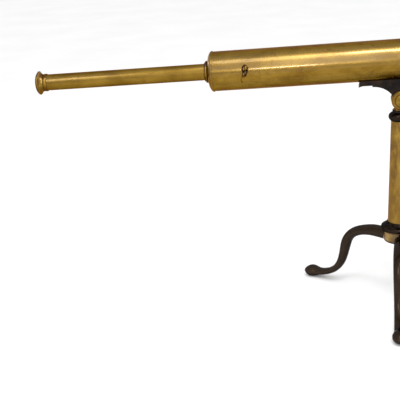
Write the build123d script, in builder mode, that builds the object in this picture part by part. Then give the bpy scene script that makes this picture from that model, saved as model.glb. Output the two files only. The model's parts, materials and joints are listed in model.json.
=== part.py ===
"""Brass library telescope on a pillar-and-claw table stand.

Frame: millimetres, +Z up, origin on the floor plane under the pillar's axis.
The telescope lies in the XZ plane: objective towards +X, eyepiece towards -X.
The three legs stand 120 degrees apart round the pillar.
"""
from build123d import *
import math
import os

os.makedirs("parts", exist_ok=True)

# ---------------------------------------------------------------- driving dimensions
# heights on the pillar's axis
HUB_BOTTOM = 121.0
DRUM_BOTTOM = 124.2
DRUM_TOP = 143.5
COLUMN_BOTTOM = 150.0
LOWER_RING_TOP = 160.0
COLUMN_TOP = 360.2
HEAD_SEAT = 381.0
PIVOT_Z = 400.5

# stand radii
DRUM_R = 36.0
LOWER_RING_R = 40.3
COLUMN_FOOT_R = 27.2
COLUMN_HEAD_R = 19.2
COLUMN_WALL = 2.6
UPPER_RING_R = 23.8

# telescope
PITCH = 1.5
PIVOT_TO_AXIS = 76.0
BARREL_R = 38.0
BARREL_WALL = 1.4
BARREL_REAR = -350.0
BARREL_FRONT = 540.0
FOCUS_R = 17.6
FOCUS_BORE_R = 16.4
DRAW_R = 15.8
DRAW_BORE_R = 14.9
EYE_FACE = -702.5

# fits
GAP = 0.3
RUNNING = 0.06
SEATED = 0.05

# legs: azimuth of each, then the spine as (distance from the pillar's axis, height)
LEG_AZIMUTHS = {"leg_left": 146.2, "leg_front": 266.2, "leg_right": 26.2}
LEG_SPINE = [(33, 127.5), (82, 126.5), (122.5, 106), (137.5, 64.5), (161, 26.5), (195, 13.1), (238, 9.1)]

# the telescope's own frame: local x along the tube, local y up, origin on the tube's axis
pitch = math.radians(PITCH)
along = Vector(math.cos(pitch), 0, math.sin(pitch))
upward = Vector(-math.sin(pitch), 0, math.cos(pitch))
pivot = Vector(0, 0, PIVOT_Z)
TUBE = Plane(origin=pivot + upward * PIVOT_TO_AXIS, x_dir=along, z_dir=(0, -1, 0))
TUBE_AXIS = Axis(TUBE.origin, along)
HEAD = Plane(origin=pivot, x_dir=(1, 0, 0), z_dir=(0, -1, 0))

# the focusing gear's frame: the same origin and x, rolled about the tube's axis so that
# the spindle (local z) comes out of the barrel's near side, sloping downwards
FOCUS_ROLL = 30.0
roll = math.radians(FOCUS_ROLL)
spindle_way = Vector(0, -1, 0) * math.cos(roll) - upward * math.sin(roll)
FOCUS = Plane(origin=TUBE.origin, x_dir=along, z_dir=spindle_way)
KEY_X = -287.0
TOOTH_PITCH = math.pi
PINION_TEETH = 10
PINION_R = PINION_TEETH * TOOTH_PITCH / (2 * math.pi)
RACK_ROOT = 18.5
RACK_TIP = 20.3
RACK_LINE = 19.55
PINION_Y = RACK_LINE + PINION_R
SPINDLE_R = 2.5


def save(builder, name):
    """Label a finished piece and write it to its own file."""
    builder.part.label = name
    export_step(builder.part, f"parts/{name}.step")


def turn(points, plane=Plane.XZ, axis=Axis.Z, mode=Mode.ADD):
    """Revolve a closed outline of straight runs about an axis."""
    with BuildSketch(plane) as outline:
        with BuildLine():
            Polyline(*points, close=True)
        make_face()
    revolve(outline.sketch, axis=axis, mode=mode)


def turn_tube(points, mode=Mode.ADD):
    """Revolve an outline of (distance along the tube, radius) points about the tube's axis."""
    turn(points, TUBE, TUBE_AXIS, mode)


def cap_arc(apex, rise, radius, way):
    """Arc of a spherical cap, from its apex on the axis out to its rim; the rim lies way * rise along."""
    ball = (radius ** 2 + rise ** 2) / (2 * rise)
    centre = (apex[0] + way * ball, 0)
    angle = math.degrees(math.asin(radius / ball))
    if way > 0:
        return CenterArc(centre, ball, 180, -angle)
    return CenterArc(centre, ball, 0, angle)


def cap_arc_up(apex, rise, radius):
    """The same cap with its axis along the sketch's y; the rim lies rise below the apex."""
    ball = (radius ** 2 + rise ** 2) / (2 * rise)
    angle = math.degrees(math.asin(radius / ball))
    return CenterArc((0, apex[1] - ball), ball, 90, -angle)


def sleeve(start, end, outer, inner):
    """Outline of a plain ring or tube, for turn_tube."""
    return [(start, inner), (start, outer), (end, outer), (end, inner)]


# ================================================================ stand
# ---------------------------------------------------------------- legs
TONGUE_INNER = 26.0
TONGUE_TOP = 138.0
DOVETAIL_HALF = 8.0
DOVETAIL_NECK = 4.0
LEG_SCREW_R = 31.0
LEG_SCREW_SHANK = 2.0
LEG_SCREW_HEAD = 4.1
LEG_SCREW_LENGTH = 14.0

# half sizes of a leg's oval section, and shares of its spine from the hub
LIMB_HALF_WIDTH = 11.8
LIMB_BELLY = 2.8
LIMB_HALF_THICKNESS = 6.4
ROOT_THICKENING = 6.4
PAD_WIDENING = 3.2
KNEE_THICKENING = 1.3
PAD_THICKENING = 5.4
LIMB_END = 0.72
PAD_SHARE = 0.93
TOE_SHARE = 0.996
LIMB_SECTIONS = 9
PAD_SECTIONS = [0.79, 0.84, 0.885, PAD_SHARE, 0.955, 0.975, 0.988, 0.994]


def swell(share, middle, spread):
    """Smooth bump of height 1 at middle."""
    return math.exp(-((share - middle) / spread) ** 2)


def leg_shares():
    """Where a leg's sections stand along its spine: even along the limb, closer round the pad and toe."""
    limb = [LIMB_END * index / LIMB_SECTIONS for index in range(LIMB_SECTIONS + 1)]
    return limb + PAD_SECTIONS


def leg_half_sizes(share):
    """Half width and half thickness of a leg's oval section at a share of its spine."""
    width = LIMB_HALF_WIDTH + LIMB_BELLY * swell(share, 0.24, 0.38)
    width += PAD_WIDENING * swell(share, PAD_SHARE, 0.05)
    thickness = LIMB_HALF_THICKNESS + ROOT_THICKENING * (1 - share) ** 2.3
    thickness += KNEE_THICKENING * swell(share, 0.42, 0.12)
    thickness += PAD_THICKENING * swell(share, PAD_SHARE, 0.062)
    if share > PAD_SHARE:
        # the toe closes in a rounded end
        toe = math.sqrt(1 - ((share - PAD_SHARE) / (TOE_SHARE - PAD_SHARE)) ** 2)
        return toe * width, toe * thickness
    return width, thickness


def tongue(azimuth, clearance, bottom, top, mode=Mode.ADD):
    """Dovetail tongue that locks a leg's root into the hub drum."""
    plane = Plane.XY.offset(bottom).rotated((0, 0, azimuth))
    with BuildSketch(plane) as dovetail:
        with BuildLine():
            Polyline(
                (TONGUE_INNER - clearance, DOVETAIL_HALF + clearance),
                (DRUM_R + 2, DOVETAIL_NECK + clearance),
                (DRUM_R + 2, -DOVETAIL_NECK - clearance),
                (TONGUE_INNER - clearance, -DOVETAIL_HALF - clearance),
                close=True,
            )
        make_face()
    extrude(dovetail.sketch, amount=top - bottom, mode=mode)


for name, azimuth in LEG_AZIMUTHS.items():
    turned = math.radians(azimuth)
    side = Plane(
        origin=(0, 0, 0),
        x_dir=(math.cos(turned), math.sin(turned), 0),
        z_dir=(math.sin(turned), -math.cos(turned), 0),
    )
    with BuildLine(side) as spine:
        Spline(*LEG_SPINE, tangents=[(1, 0.05), (1, -0.12)])
    with BuildPart() as leg:
        for share in leg_shares():
            centre = spine.line @ share
            across = Plane(origin=centre, x_dir=side.z_dir, z_dir=spine.line % share)
            with BuildSketch(across):
                Ellipse(*leg_half_sizes(share))
        loft()
        # the root hugs the drum, the pad is flat where it stands
        with BuildSketch(Plane.XY.offset(HUB_BOTTOM - 20)):
            Circle(DRUM_R + SEATED)
        extrude(amount=60, mode=Mode.SUBTRACT)
        tongue(azimuth, 0, DRUM_BOTTOM, TONGUE_TOP)
        with BuildSketch(Plane.XY.offset(-20)):
            Rectangle(600, 600)
        extrude(amount=20, mode=Mode.SUBTRACT)
        with BuildSketch(Plane.XY.offset(DRUM_BOTTOM)):
            with PolarLocations(LEG_SCREW_R, 1, azimuth):
                Circle(LEG_SCREW_SHANK + SEATED)
        extrude(amount=11, mode=Mode.SUBTRACT)
    save(leg, name)

# ---------------------------------------------------------------- hub
ROD_R = 4.0
ROD_HOLE_R = ROD_R + SEATED
DOVETAIL_FIT = 0.1

with BuildPart() as hub_drum:
    turn([
        (ROD_HOLE_R, DRUM_BOTTOM),
        (DRUM_R - 0.8, DRUM_BOTTOM),
        (DRUM_R, DRUM_BOTTOM + 0.8),
        (DRUM_R, DRUM_TOP - 2.4),
        (DRUM_R - 0.9, DRUM_TOP - 2.0),
        (DRUM_R - 0.9, DRUM_TOP),
        (ROD_HOLE_R, DRUM_TOP),
    ])
    for azimuth in LEG_AZIMUTHS.values():
        tongue(azimuth, DOVETAIL_FIT, DRUM_BOTTOM, TONGUE_TOP + DOVETAIL_FIT, Mode.SUBTRACT)
save(hub_drum, "hub_drum")

PLATE_R = DRUM_R - 1.5
with BuildPart() as base_plate:
    with BuildSketch(Plane.XY.offset(HUB_BOTTOM)):
        Circle(PLATE_R)
        Circle(ROD_HOLE_R, mode=Mode.SUBTRACT)
    extrude(amount=DRUM_BOTTOM - HUB_BOTTOM)
    chamfer(base_plate.edges().group_by(Axis.Z)[0].sort_by(SortBy.RADIUS)[-1], 0.8)
    with Locations(Plane.XY.offset(HUB_BOTTOM).rotated((180, 0, 0))):
        with PolarLocations(LEG_SCREW_R, 3, -LEG_AZIMUTHS["leg_right"]):
            CounterSinkHole(LEG_SCREW_SHANK + SEATED, 4.2, depth=DRUM_BOTTOM - HUB_BOTTOM)
save(base_plate, "hub_base_plate")


def countersunk_screw(plane, head_r, shank_r, length, slot=0.9):
    """Slotted countersunk screw: head flush with the plane, shank along the plane's -z."""
    sink = head_r - shank_r
    with BuildSketch(Plane(plane.origin, x_dir=plane.x_dir, z_dir=plane.y_dir)) as half:
        with BuildLine():
            Polyline(
                (0, 0), (head_r, 0), (shank_r, sink), (shank_r, length), (0, length), close=True
            )
        make_face()
    revolve(half.sketch, axis=Axis(plane.origin, plane.z_dir))
    with BuildSketch(plane) as driver_slot:
        Rectangle(3 * head_r, slot)
    extrude(driver_slot.sketch, amount=-0.8, mode=Mode.SUBTRACT)


with BuildPart() as leg_screws:
    for azimuth in LEG_AZIMUTHS.values():
        turned = math.radians(azimuth)
        spot = Vector(LEG_SCREW_R * math.cos(turned), LEG_SCREW_R * math.sin(turned), HUB_BOTTOM + 0.1)
        underside = Plane(spot, x_dir=(1, 0, 0), z_dir=(0, 0, -1))
        countersunk_screw(underside, LEG_SCREW_HEAD, LEG_SCREW_SHANK, LEG_SCREW_LENGTH)
save(leg_screws, "leg_screws")

# ---------------------------------------------------------------- lower ring, column, upper ring
with BuildPart() as lower_ring:
    with BuildSketch(Plane.XZ):
        with BuildLine():
            Polyline(
                (COLUMN_FOOT_R, LOWER_RING_TOP),
                (COLUMN_FOOT_R, COLUMN_BOTTOM),
                (15, COLUMN_BOTTOM),
                (15, DRUM_TOP),
                (LOWER_RING_R - 2.3, DRUM_TOP),
                (LOWER_RING_R - 2.3, DRUM_TOP + 1.4),
            )
            ThreePointArc(
                (LOWER_RING_R - 2.3, DRUM_TOP + 1.4),
                (LOWER_RING_R, DRUM_TOP + 5.4),
                (LOWER_RING_R - 2.3, DRUM_TOP + 9.2),
            )
            ThreePointArc(
                (LOWER_RING_R - 2.3, DRUM_TOP + 9.2),
                (32.4, LOWER_RING_TOP - 4.0),
                (COLUMN_FOOT_R + 1.6, LOWER_RING_TOP),
            )
            Line((COLUMN_FOOT_R + 1.6, LOWER_RING_TOP), (COLUMN_FOOT_R, LOWER_RING_TOP))
        make_face()
    revolve(axis=Axis.Z)
save(lower_ring, "lower_ring")

SOCKET_R = 14.0
SOCKET_BOTTOM = 322.0
with BuildPart() as column:
    turn([
        (COLUMN_FOOT_R - COLUMN_WALL, COLUMN_BOTTOM),
        (COLUMN_FOOT_R - SEATED, COLUMN_BOTTOM),
        (COLUMN_FOOT_R - SEATED, LOWER_RING_TOP),
        (COLUMN_HEAD_R, COLUMN_TOP),
        (COLUMN_HEAD_R - COLUMN_WALL, COLUMN_TOP),
    ])
save(column, "column")

SPIGOT_R = COLUMN_HEAD_R - COLUMN_WALL
SPIGOT_DEPTH = 12.0
BUSH_BOTTOM = SOCKET_BOTTOM + 14.0
BUSH_R = 9.0
SPINDLE_HEAD_R = 7.0
GRUB_Z = 366.0
GRUB_R = 2.0
GRUB_WAY = Plane(origin=(0, 0, GRUB_Z), x_dir=(1, 0, 0), z_dir=(0, 1, 0))
SEAT_R = 16.4
BEAD_BOTTOM = COLUMN_TOP + 0.6
BEAD_TOP = COLUMN_TOP + 15.4
with BuildPart() as upper_ring:
    with BuildSketch(Plane.XZ):
        with BuildLine():
            Polyline(
                (SEAT_R, HEAD_SEAT),
                (BUSH_R, HEAD_SEAT),
                (BUSH_R, BUSH_BOTTOM),
                (ROD_R + SEATED, BUSH_BOTTOM),
                (ROD_R + SEATED, SOCKET_BOTTOM),
                (SOCKET_R, SOCKET_BOTTOM),
                (SOCKET_R, COLUMN_TOP - SPIGOT_DEPTH),
                (SPIGOT_R - 0.2, COLUMN_TOP - SPIGOT_DEPTH),
                (SPIGOT_R - 0.2, COLUMN_TOP),
                (COLUMN_HEAD_R + 0.4, COLUMN_TOP),
                (COLUMN_HEAD_R + 0.4, BEAD_BOTTOM),
            )
            ThreePointArc(
                (COLUMN_HEAD_R + 0.4, BEAD_BOTTOM),
                (UPPER_RING_R, BEAD_BOTTOM + 7.4),
                (UPPER_RING_R - 4.4, BEAD_TOP),
            )
            Polyline((UPPER_RING_R - 4.4, BEAD_TOP), (SEAT_R, BEAD_TOP + 1.4), (SEAT_R, HEAD_SEAT))
        make_face()
    revolve(axis=Axis.Z)
    with BuildSketch(GRUB_WAY):
        Circle(GRUB_R + SEATED)
    extrude(amount=30, mode=Mode.SUBTRACT)
save(upper_ring, "upper_ring")

with BuildPart() as head_bush:
    turn([
        (SPINDLE_HEAD_R + RUNNING, BUSH_BOTTOM + 1),
        (BUSH_R, BUSH_BOTTOM + 1),
        (BUSH_R, HEAD_SEAT),
        (SPINDLE_HEAD_R + RUNNING, HEAD_SEAT),
    ])
    with BuildSketch(GRUB_WAY):
        Circle(GRUB_R + SEATED)
    extrude(amount=30, mode=Mode.SUBTRACT)
save(head_bush, "head_bush")

# the grub screw's point runs in the spindle's groove and keeps the head from lifting out
GROOVE_DEPTH = 1.6
with BuildPart() as spindle_grub:
    with BuildSketch(GRUB_WAY.offset(SPINDLE_HEAD_R - GROOVE_DEPTH + GAP)):
        Circle(GRUB_R)
    extrude(amount=12)
    with BuildSketch(GRUB_WAY.offset(SPINDLE_HEAD_R + 11)):
        Rectangle(5, 0.8)
    extrude(amount=-1.2, mode=Mode.SUBTRACT)
save(spindle_grub, "spindle_grub")

NUT_HEIGHT = 7.0
NUT_R = 7.6
WASHER_HEIGHT = 1.6
ROD_BOTTOM = HUB_BOTTOM - NUT_HEIGHT - 3.0
with BuildPart() as tie_rod:
    with BuildSketch(Plane.XY.offset(ROD_BOTTOM)):
        Circle(ROD_R)
    extrude(amount=BUSH_BOTTOM - 1 - ROD_BOTTOM)
    chamfer(tie_rod.edges().filter_by(GeomType.CIRCLE), 0.6)
save(tie_rod, "tie_rod")

with BuildPart() as tie_washer:
    with BuildSketch(Plane.XY.offset(HUB_BOTTOM - WASHER_HEIGHT)):
        Circle(10)
        Circle(ROD_HOLE_R, mode=Mode.SUBTRACT)
    extrude(amount=WASHER_HEIGHT)
save(tie_washer, "tie_washer")

with BuildPart() as tie_nut:
    with BuildSketch(Plane.XY.offset(HUB_BOTTOM - WASHER_HEIGHT - NUT_HEIGHT)):
        RegularPolygon(NUT_R, 6)
        Circle(ROD_HOLE_R, mode=Mode.SUBTRACT)
    extrude(amount=NUT_HEIGHT)
save(tie_nut, "tie_nut")

# ================================================================ head: turns on the column
CHEEK_R = 18.6
CHEEK_INNER = 8.5
CHEEK_OUTER = 15.5
BOLT_R = 4.0
FORK_NECK = 11.0
FORK_BASE_R = 16.0
SPINDLE_END = BUSH_BOTTOM + 2
GROOVE_HALF = 2.4
with BuildPart() as joint_fork:
    # two round cheeks that narrow towards the base
    with BuildSketch(HEAD):
        Circle(CHEEK_R)
        with Locations((0, HEAD_SEAT + 4 - PIVOT_Z)):
            Rectangle(2 * FORK_NECK, 6)
    extrude(amount=CHEEK_OUTER, both=True)
    # turned base and spindle below them, with the groove for the grub screw
    turn([
        (0, SPINDLE_END),
        (SPINDLE_HEAD_R - 1, SPINDLE_END),
        (SPINDLE_HEAD_R, SPINDLE_END + 1),
        (SPINDLE_HEAD_R, GRUB_Z - GROOVE_HALF),
        (SPINDLE_HEAD_R - GROOVE_DEPTH, GRUB_Z - GROOVE_HALF),
        (SPINDLE_HEAD_R - GROOVE_DEPTH, GRUB_Z + GROOVE_HALF),
        (SPINDLE_HEAD_R, GRUB_Z + GROOVE_HALF),
        (SPINDLE_HEAD_R, HEAD_SEAT + GAP),
        (FORK_BASE_R - 0.4, HEAD_SEAT + GAP),
        (FORK_BASE_R, HEAD_SEAT + 0.7),
        (FORK_BASE_R - 0.3, HEAD_SEAT + 1.2),
        (FORK_NECK, HEAD_SEAT + 1.8),
        (FORK_NECK, HEAD_SEAT + 4.0),
        (0, HEAD_SEAT + 4.0),
    ])
    # slot for the bracket's tongue
    with BuildSketch(Plane.XZ):
        with Locations((0, PIVOT_Z)):
            Circle(CHEEK_R + 1.0)
    extrude(amount=CHEEK_INNER, both=True, mode=Mode.SUBTRACT)
    # bolt hole
    with BuildSketch(HEAD):
        Circle(BOLT_R + SEATED)
    extrude(amount=30, both=True, mode=Mode.SUBTRACT)
save(joint_fork, "joint_fork")

DISC_R = 17.6
DISC_DEPTH = 3.4


def pivot_disc(direction):
    """Turned disc on a fork cheek, with two grooves and a domed middle; direction is -1 or 1 in Y."""
    axis = Axis(pivot, (0, direction, 0))
    plane = Plane(origin=pivot, x_dir=(0, direction, 0), z_dir=(direction, 0, 0))
    with BuildSketch(plane) as outline:
        with BuildLine():
            Polyline(
                (CHEEK_OUTER, BOLT_R + SEATED),
                (CHEEK_OUTER, DISC_R),
                (CHEEK_OUTER + 1.0, DISC_R),
                (CHEEK_OUTER + 2.2, DISC_R - 1.4),
                (CHEEK_OUTER + 2.2, 13.0),
                (CHEEK_OUTER + 1.5, 12.4),
                (CHEEK_OUTER + 1.5, 11.6),
                (CHEEK_OUTER + 2.6, 11.0),
                (CHEEK_OUTER + DISC_DEPTH, 8.2),
                (CHEEK_OUTER + DISC_DEPTH, BOLT_R + SEATED),
                close=True,
            )
        make_face()
    revolve(outline.sketch, axis=axis)


with BuildPart() as near_disc:
    pivot_disc(-1)
save(near_disc, "pivot_disc_near")
with BuildPart() as far_disc:
    pivot_disc(1)
save(far_disc, "pivot_disc_far")

BOLT_REACH = CHEEK_OUTER + DISC_DEPTH
BOLT_HEAD_R = 6.2
BOLT_DOME = 2.8
BOLT_TAIL = -BOLT_REACH - 7
with BuildPart() as pivot_bolt:
    with BuildSketch(Plane(origin=pivot, x_dir=(0, -1, 0), z_dir=(-1, 0, 0))):
        with BuildLine():
            dome = cap_arc((BOLT_REACH + BOLT_DOME, 0), BOLT_DOME, BOLT_HEAD_R, -1)
            Polyline(dome @ 1, (BOLT_REACH, BOLT_R), (BOLT_TAIL, BOLT_R), (BOLT_TAIL, 0), dome @ 0)
        make_face()
    revolve(axis=Axis(pivot, (0, 1, 0)))
save(pivot_bolt, "pivot_bolt")

with BuildPart() as pivot_nut:
    with BuildSketch(Plane(origin=pivot + Vector(0, BOLT_REACH, 0), x_dir=(1, 0, 0), z_dir=(0, 1, 0))):
        RegularPolygon(NUT_R, 6)
        Circle(BOLT_R + SEATED, mode=Mode.SUBTRACT)
    extrude(amount=5.5)
save(pivot_nut, "pivot_nut")

# ================================================================ telescope mount: tilts on the head
TONGUE_HALF = 7.6
SADDLE_BOTTOM = -44.5
SADDLE_INSIDE = -33.0
SADDLE_HALF = 78.0
TIP_SLANT = 1.4
SADDLE_SCREW_X = 66.0
SADDLE_SCREW_R = 2.5
SADDLE_SCREW_HEAD = 4.5
SADDLE_SCREWS = [(-SADDLE_SCREW_X, 0), (SADDLE_SCREW_X, 0)]
BRACKET_SCREW_X = 40.0
BRACKET_SCREW_Y = 7.5
BRACKET_SCREW_R = 1.5
BRACKET_SCREW_HEAD = 2.9
SADDLE_WIDTH = 28.0
BRACKET_HALF = 52.5
BRACKET_END = 3.0
ARM_FOOT = -63.8
ARM_MIDDLE = (-31.5, -52.4)
PIVOT_Y = -PIVOT_TO_AXIS
TONGUE_R = 17.6

with BuildPart() as saddle_plate:
    with BuildSketch(TUBE):
        with BuildLine():
            Polyline(
                (TIP_SLANT - SADDLE_HALF, SADDLE_INSIDE),
                (TIP_SLANT - SADDLE_HALF, SADDLE_BOTTOM + 2.0),
                (-SADDLE_HALF, SADDLE_BOTTOM - 2.2),
            )
            # the tip hooks down to a point
            Spline(
                (-SADDLE_HALF, SADDLE_BOTTOM - 2.2),
                (-SADDLE_HALF + 6, SADDLE_BOTTOM - 0.3),
                (-SADDLE_HALF + 14, SADDLE_BOTTOM),
                tangents=[(1, 0.5), (1, -0.05)],
            )
            Polyline(
                (-SADDLE_HALF + 14, SADDLE_BOTTOM),
                (0, SADDLE_BOTTOM),
                (0, SADDLE_INSIDE),
                (TIP_SLANT - SADDLE_HALF, SADDLE_INSIDE),
            )
        make_face()
    extrude(amount=SADDLE_WIDTH / 2, both=True)
    mirror(about=Plane(origin=TUBE.origin, x_dir=(0, 1, 0), z_dir=along))
    with BuildSketch(Plane(origin=TUBE.origin - along * 100, x_dir=(0, 1, 0), z_dir=along)):
        Circle(BARREL_R)
    extrude(amount=200, mode=Mode.SUBTRACT)
    with Locations(Plane(TUBE.origin + upward * SADDLE_BOTTOM, x_dir=along, z_dir=-upward)):
        with Locations(*SADDLE_SCREWS):
            CounterSinkHole(SADDLE_SCREW_R + SEATED, SADDLE_SCREW_HEAD + 0.1, depth=12)
        with GridLocations(2 * BRACKET_SCREW_X, 2 * BRACKET_SCREW_Y, 2, 2):
            Hole(BRACKET_SCREW_R + SEATED, depth=4)
save(saddle_plate, "saddle_plate")

with BuildPart() as saddle_bracket:
    # side outline: arms under the plate sweep down into the tongue
    with BuildSketch(TUBE):
        with BuildLine():
            Polyline(
                (0, SADDLE_BOTTOM),
                (-BRACKET_HALF, SADDLE_BOTTOM),
                (-BRACKET_HALF, SADDLE_BOTTOM - BRACKET_END),
            )
            ThreePointArc((-BRACKET_HALF, SADDLE_BOTTOM - BRACKET_END), ARM_MIDDLE, (-TONGUE_R, ARM_FOOT))
            Polyline((-TONGUE_R, ARM_FOOT), (-TONGUE_R, PIVOT_Y), (0, PIVOT_Y), (0, SADDLE_BOTTOM))
        make_face()
    extrude(amount=SADDLE_WIDTH / 2 - 2, both=True)
    mirror(about=Plane(origin=TUBE.origin, x_dir=(0, 1, 0), z_dir=along))
    # below the arms the bracket is cut back to the tongue between the fork's cheeks
    with BuildSketch(TUBE):
        with Locations((0, PIVOT_Y)):
            Circle(CHEEK_R + 1.2)
    extrude(amount=SADDLE_WIDTH, both=True, mode=Mode.SUBTRACT)
    with BuildSketch(TUBE):
        with Locations((0, PIVOT_Y)):
            Circle(TONGUE_R)
        with Locations((0, PIVOT_Y + 13)):
            Rectangle(2 * TONGUE_R, 26)
    extrude(amount=TONGUE_HALF, both=True)
    with BuildSketch(TUBE):
        with Locations((0, PIVOT_Y)):
            Circle(BOLT_R + RUNNING)
    extrude(amount=20, both=True, mode=Mode.SUBTRACT)
    with Locations(Plane(TUBE.origin + upward * (SADDLE_BOTTOM - 2.6), x_dir=along, z_dir=-upward)):
        with GridLocations(2 * BRACKET_SCREW_X, 2 * BRACKET_SCREW_Y, 2, 2):
            CounterSinkHole(BRACKET_SCREW_R + SEATED, BRACKET_SCREW_HEAD + 0.1, depth=8)
save(saddle_bracket, "saddle_bracket")

with BuildPart() as bracket_screws:
    for x in (-BRACKET_SCREW_X, BRACKET_SCREW_X):
        for y in (-BRACKET_SCREW_Y, BRACKET_SCREW_Y):
            spot = TUBE.origin + upward * (SADDLE_BOTTOM - 2.5) + along * x + Vector(0, y, 0)
            below = Plane(spot, x_dir=along, z_dir=-upward)
            countersunk_screw(below, BRACKET_SCREW_HEAD, BRACKET_SCREW_R, 6)
save(bracket_screws, "bracket_screws")

with BuildPart() as saddle_screws:
    for x, _ in SADDLE_SCREWS:
        spot = TUBE.origin + upward * (SADDLE_BOTTOM + 0.1) + along * x
        below = Plane(spot, x_dir=along, z_dir=-upward)
        countersunk_screw(below, SADDLE_SCREW_HEAD, SADDLE_SCREW_R, 13)
save(saddle_screws, "saddle_screws")

WASHER_DEPTH = 0.6
WASHER_R = 14.0
with BuildPart() as friction_washers:
    for direction in (-1, 1):
        tongue_face = pivot + Vector(0, direction * TONGUE_HALF, 0)
        with BuildSketch(Plane(origin=tongue_face, x_dir=(1, 0, 0), z_dir=(0, direction, 0))):
            Circle(WASHER_R)
            Circle(BOLT_R + RUNNING, mode=Mode.SUBTRACT)
        extrude(amount=WASHER_DEPTH)
save(friction_washers, "friction_washers")

# ---------------------------------------------------------------- barrel
BARREL_BORE = BARREL_R - BARREL_WALL
with BuildPart() as barrel:
    turn_tube(sleeve(BARREL_REAR, BARREL_FRONT, BARREL_R, BARREL_BORE))
    with BuildSketch(FOCUS):
        with Locations((KEY_X, PINION_Y)):
            Circle(SPINDLE_R + 0.8)
    extrude(amount=60, mode=Mode.SUBTRACT)
    with BuildSketch(Plane(TUBE.origin, x_dir=along, z_dir=-upward)):
        with Locations(*SADDLE_SCREWS):
            Circle(SADDLE_SCREW_R + SEATED)
    extrude(amount=60, mode=Mode.SUBTRACT)
save(barrel, "barrel")

LUG_BORE = BARREL_BORE - 5
LUG_LENGTH = 24.0
LUG_WIDTH = 18.0
with BuildPart() as barrel_lugs:
    with BuildSketch(Plane(TUBE.origin + upward * (-BARREL_R), x_dir=along, z_dir=upward)):
        with Locations(*SADDLE_SCREWS):
            Rectangle(LUG_LENGTH, LUG_WIDTH)
    extrude(amount=12)
    turn_tube(sleeve(-100, 100, BARREL_BORE, LUG_BORE), Mode.INTERSECT)
    with BuildSketch(Plane(TUBE.origin, x_dir=along, z_dir=-upward)):
        with Locations(*SADDLE_SCREWS):
            Circle(SADDLE_SCREW_R + SEATED)
    extrude(amount=60, mode=Mode.SUBTRACT)
save(barrel_lugs, "barrel_lugs")

# ---------------------------------------------------------------- barrel's rear end
GUIDE_BORE = FOCUS_R + GAP
GUIDE_R = 19.6
REAR_FACE = -359.5
BEAD_R = BARREL_R + 1.0
CAP_INNER = -351.0
CAP_END = -341.0
with BuildPart() as rear_cap:
    with BuildSketch(TUBE):
        with BuildLine():
            Line((CAP_INNER, GUIDE_R), (REAR_FACE, GUIDE_R))
            # a dished face that rounds over to the rim, a groove, then a bead
            ThreePointArc((REAR_FACE, GUIDE_R), (REAR_FACE + 0.7, 30.5), (REAR_FACE + 4.2, BARREL_R - 0.9))
            Line((REAR_FACE + 4.2, BARREL_R - 0.9), (REAR_FACE + 4.9, BARREL_R - 1.0))
            ThreePointArc(
                (REAR_FACE + 4.9, BARREL_R - 1.0), (REAR_FACE + 7.0, BEAD_R), (BARREL_REAR, BARREL_R + 0.2)
            )
            Polyline(
                (BARREL_REAR, BARREL_R + 0.2), (BARREL_REAR, BARREL_BORE), (CAP_END, BARREL_BORE),
                (CAP_END, BARREL_BORE - 2), (CAP_INNER, BARREL_BORE - 2), (CAP_INNER, GUIDE_R),
            )
        make_face()
    revolve(axis=TUBE_AXIS)
save(rear_cap, "rear_cap")

GUIDE_FRONT = -215.0
RACK_SLOT_HALF = 4.2
with BuildPart() as focus_guide:
    turn_tube(sleeve(REAR_FACE + 0.6, GUIDE_FRONT, GUIDE_R, GUIDE_BORE))
    with BuildSketch(FOCUS):
        with Locations(((CAP_INNER + GUIDE_FRONT) / 2 + 5, 20)):
            Rectangle(GUIDE_FRONT - CAP_INNER + 10, 10)
    extrude(amount=RACK_SLOT_HALF, both=True, mode=Mode.SUBTRACT)
save(focus_guide, "focus_guide")

SPINDLE_AXIS = Axis(FOCUS.from_local_coords((KEY_X, PINION_Y, 0)), FOCUS.z_dir)
BOX_HALF = 9.0
BOX_WIDTH_HALF = 7.8
BOX_TOP = 33.0
BOX_FOOT = 17.0
BOX_REACH = 20.0
GEAR_ROOM = (16.0, 31.0)
with BuildPart() as pinion_box:
    with BuildSketch(FOCUS):
        with Locations((KEY_X, (BOX_FOOT + BOX_TOP) / 2)):
            Rectangle(2 * BOX_HALF, BOX_TOP - BOX_FOOT)
    extrude(amount=BOX_WIDTH_HALF, both=True)
    with BuildSketch(FOCUS):
        with Locations((KEY_X, sum(GEAR_ROOM) / 2)):
            Rectangle(2 * BOX_HALF + 2, GEAR_ROOM[1] - GEAR_ROOM[0])
    extrude(amount=RACK_SLOT_HALF, both=True, mode=Mode.SUBTRACT)
    turn_tube(sleeve(KEY_X - BOX_REACH, KEY_X + BOX_REACH, GUIDE_R, 10), Mode.SUBTRACT)
    with BuildSketch(FOCUS):
        with Locations((KEY_X, PINION_Y)):
            Circle(SPINDLE_R + RUNNING)
    extrude(amount=2 * BOX_WIDTH_HALF, both=True, mode=Mode.SUBTRACT)
save(pinion_box, "pinion_box")

BOSS_TOP = 33.0
BOSS_R = 6.0
BOSS_START = 18.0
with BuildPart() as spindle_boss:
    with BuildSketch(FOCUS.offset(BOSS_START)):
        with Locations((KEY_X, PINION_Y)):
            Circle(BOSS_R)
            Circle(SPINDLE_R + GAP, mode=Mode.SUBTRACT)
    extrude(amount=BOSS_TOP - BOSS_START)
    outer_face = spindle_boss.faces().sort_by(Axis(FOCUS.origin, FOCUS.z_dir))[-1]
    chamfer(outer_face.edges().sort_by(SortBy.RADIUS)[-1], 1.0)
    # its foot is soldered to the barrel's skin
    turn_tube(sleeve(KEY_X - BOX_REACH, KEY_X + BOX_REACH, BARREL_R, 0.5), Mode.SUBTRACT)
save(spindle_boss, "spindle_boss")

# ---------------------------------------------------------------- pinion and key: turn together
TOOTH_FLANK = math.radians(20)
TOOTH_THICKNESS = 1.1
PINION_TIP = PINION_R + 0.7
PINION_ROOT = PINION_R - 1.2


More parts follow.
